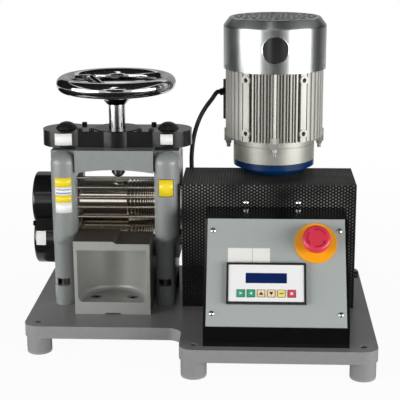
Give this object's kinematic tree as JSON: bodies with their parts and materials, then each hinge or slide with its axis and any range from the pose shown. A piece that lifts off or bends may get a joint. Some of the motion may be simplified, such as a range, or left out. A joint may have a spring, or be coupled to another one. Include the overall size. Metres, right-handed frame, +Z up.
{
  "type": "electric rolling mill",
  "caption": "Bench rolling mill with a flat and wire-grooved roll pair, a handwheel that sets the roll gap, a vertical worm gear motor and a sloped control console on a footed base.",
  "frame": {"origin": "middle of the base casting's outline, on the bench under the feet", "axes": "+X to the motor side, +Y to the back, +Z up"},
  "size_m": [0.513, 0.374, 0.4775],
  "materials": {
    "base_enamel": "satin grey enamel",
    "frame_enamel": "hammered grey enamel",
    "black_enamel": "satin black enamel",
    "console_enamel": "gloss black powder coat",
    "blue_enamel": "gloss blue enamel",
    "machined_steel": "fine milled",
    "zinc_steel": "bright zinc plated",
    "black_steel": "black oxide",
    "polished_steel": "ground and polished",
    "chrome_plate": "bright chrome plated",
    "gear_steel": "cut and oiled",
    "bronze": "bored bronze",
    "iron_core": "varnished laminations",
    "cast_aluminium": "as cast, silver lacquered",
    "sheet_aluminium": "polished sheet",
    "panel_aluminium": "grey lacquer",
    "black_plastic": "fine grain",
    "white_plastic": "smooth",
    "blue_display": "dark blue display glass",
    "yellow_plastic": "smooth",
    "red_plastic": "smooth",
    "green_key": "membrane",
    "cream_key": "membrane",
    "yellow_key": "membrane",
    "red_key": "membrane",
    "cable_rubber": "smooth sheath"
  },
  "bodies": {
    "frame": {"base_plate": "base_enamel", "feet": "base_enamel", "left_cheek": "frame_enamel", "right_cheek": "frame_enamel", "top_bridge": "frame_enamel", "frame_screws": "zinc_steel", "feed_table": "machined_steel", "guard_rods": "polished_steel", "lower_chocks": "machined_steel", "lower_bushes": "bronze", "gear_cover": "black_enamel", "top_cover": "black_enamel", "cover_screws": "black_steel", "cover_caps": "black_plastic", "shaft_bearing": "machined_steel", "gearbox_housing": "blue_enamel", "ball_bearings": "gear_steel", "motor_end_shield": "cast_aluminium", "motor_body": "cast_aluminium", "stator_core": "iron_core", "motor_fasteners": "zinc_steel", "fan_cowl": "sheet_aluminium", "terminal_box": "black_plastic", "cable_glands": "black_plastic", "motor_cable": "cable_rubber", "guard": "black_enamel", "sheet_screws": "zinc_steel", "console": "console_enamel", "panel": "panel_aluminium", "display_frame": "black_plastic", "display_face": "white_plastic", "display_window": "blue_display", "estop_collar": "yellow_plastic", "drive_unit": "cast_aluminium", "chock_springs": "zinc_steel"},
    "handwheel": {"handwheel": "chrome_plate", "handwheel_shaft": "chrome_plate"},
    "left_idler": {"left_idler_gear": "gear_steel"},
    "right_idler": {"right_idler_gear": "gear_steel"},
    "carriage": {"upper_chocks": "machined_steel", "upper_bushes": "bronze"},
    "left_screw": {"left_pressure_screw": "gear_steel"},
    "right_screw": {"right_pressure_screw": "gear_steel"},
    "upper_roll": {"upper_roll": "polished_steel", "upper_roll_gear": "gear_steel"},
    "lower_roll": {"lower_roll": "polished_steel", "lower_roll_gear": "gear_steel", "drive_coupling": "gear_steel", "worm_wheel": "bronze"},
    "rotor": {"motor_rotor": "gear_steel", "cooling_fan": "black_plastic", "worm": "gear_steel"},
    "stop_stem": {"estop_stem": "black_plastic"},
    "stop_head": {"estop_head": "red_plastic"},
    "key_start": {"key_start": "green_key"},
    "key_reverse": {"key_reverse": "green_key"},
    "key_up": {"key_up": "cream_key"},
    "key_down": {"key_down": "cream_key"},
    "key_minus": {"key_minus": "yellow_key"},
    "key_stop": {"key_stop": "red_key"}
  },
  "joints": [
    {"name": "handwheel_turn", "type": "hinge", "parent": "frame", "child": "handwheel", "pos_m": [-0.1275, 0.043, 0.346], "axis": [0, 0, 1], "range_deg": [-94, 540]},
    {"name": "carriage_lift", "type": "slide", "parent": "frame", "child": "carriage", "axis": [0, 0, 1], "range_m": [-0.0007, 0.004], "deforming": ["chock_springs"]},
    {"name": "left_idler_turn", "type": "hinge", "parent": "frame", "child": "left_idler", "pos_m": [-0.1695, 0.043, 0.296], "axis": [0, 0, 1], "range_deg": [-722, 127]},
    {"name": "right_idler_turn", "type": "hinge", "parent": "frame", "child": "right_idler", "pos_m": [-0.0855, 0.043, 0.296], "axis": [0, 0, 1], "range_deg": [-722, 127]},
    {"name": "left_screw_turn", "type": "hinge", "parent": "carriage", "child": "left_screw", "pos_m": [-0.2055, 0.043, 0.296], "axis": [0, 0, 1], "range_deg": [-127, 722]},
    {"name": "right_screw_turn", "type": "hinge", "parent": "carriage", "child": "right_screw", "pos_m": [-0.0495, 0.043, 0.296], "axis": [0, 0, 1], "range_deg": [-127, 722]},
    {"name": "motor_spin", "type": "hinge", "parent": "frame", "child": "rotor", "pos_m": [0.112, 0.093, 0.346], "axis": [0, 0, 1], "continuous": true},
    {"name": "lower_roll_spin", "type": "hinge", "parent": "frame", "child": "lower_roll", "pos_m": [-0.1275, 0.043, 0.1408], "axis": [1, 0, 0], "continuous": true},
    {"name": "upper_roll_spin", "type": "hinge", "parent": "carriage", "child": "upper_roll", "pos_m": [-0.1275, 0.043, 0.2018], "axis": [1, 0, 0], "continuous": true},
    {"name": "stop_press", "type": "slide", "parent": "frame", "child": "stop_stem", "axis": [0, 0.8133, -0.5818], "range_m": [0, 0.006], "stiffness_N_per_m": 300, "springref_m": -0.003},
    {"name": "stop_twist", "type": "hinge", "parent": "stop_stem", "child": "stop_head", "pos_m": [0.17, -0.10347, 0.17649], "axis": [0, -0.8133, 0.5818], "range_deg": [0, 40], "stiffness_Nm_per_rad": 0.05, "springref_deg": -5.73},
    {"name": "key_start_press", "type": "slide", "parent": "frame", "child": "key_start", "axis": [0, 0.8133, -0.5818], "range_m": [0, 0.0005], "stiffness_N_per_m": 400, "springref_m": -0.0005},
    {"name": "key_reverse_press", "type": "slide", "parent": "frame", "child": "key_reverse", "axis": [0, 0.8133, -0.5818], "range_m": [0, 0.0005], "stiffness_N_per_m": 400, "springref_m": -0.0005},
    {"name": "key_up_press", "type": "slide", "parent": "frame", "child": "key_up", "axis": [0, 0.8133, -0.5818], "range_m": [0, 0.0005], "stiffness_N_per_m": 400, "springref_m": -0.0005},
    {"name": "key_down_press", "type": "slide", "parent": "frame", "child": "key_down", "axis": [0, 0.8133, -0.5818], "range_m": [0, 0.0005], "stiffness_N_per_m": 400, "springref_m": -0.0005},
    {"name": "key_minus_press", "type": "slide", "parent": "frame", "child": "key_minus", "axis": [0, 0.8133, -0.5818], "range_m": [0, 0.0005], "stiffness_N_per_m": 400, "springref_m": -0.0005},
    {"name": "key_stop_press", "type": "slide", "parent": "frame", "child": "key_stop", "axis": [0, 0.8133, -0.5818], "range_m": [0, 0.0005], "stiffness_N_per_m": 400, "springref_m": -0.0005}
  ],
  "couplings": [
    {"joint": "carriage_lift", "follows": "handwheel_turn", "m_per_rad": 0.00042441},
    {"joint": "left_idler_turn", "follows": "handwheel_turn", "ratio": -1.3333},
    {"joint": "right_idler_turn", "follows": "handwheel_turn", "ratio": -1.3333},
    {"joint": "left_screw_turn", "follows": "handwheel_turn", "ratio": 1.3333},
    {"joint": "right_screw_turn", "follows": "handwheel_turn", "ratio": 1.3333},
    {"joint": "lower_roll_spin", "follows": "motor_spin", "ratio": 0.025},
    {"joint": "upper_roll_spin", "follows": "motor_spin", "ratio": -0.025}
  ]
}
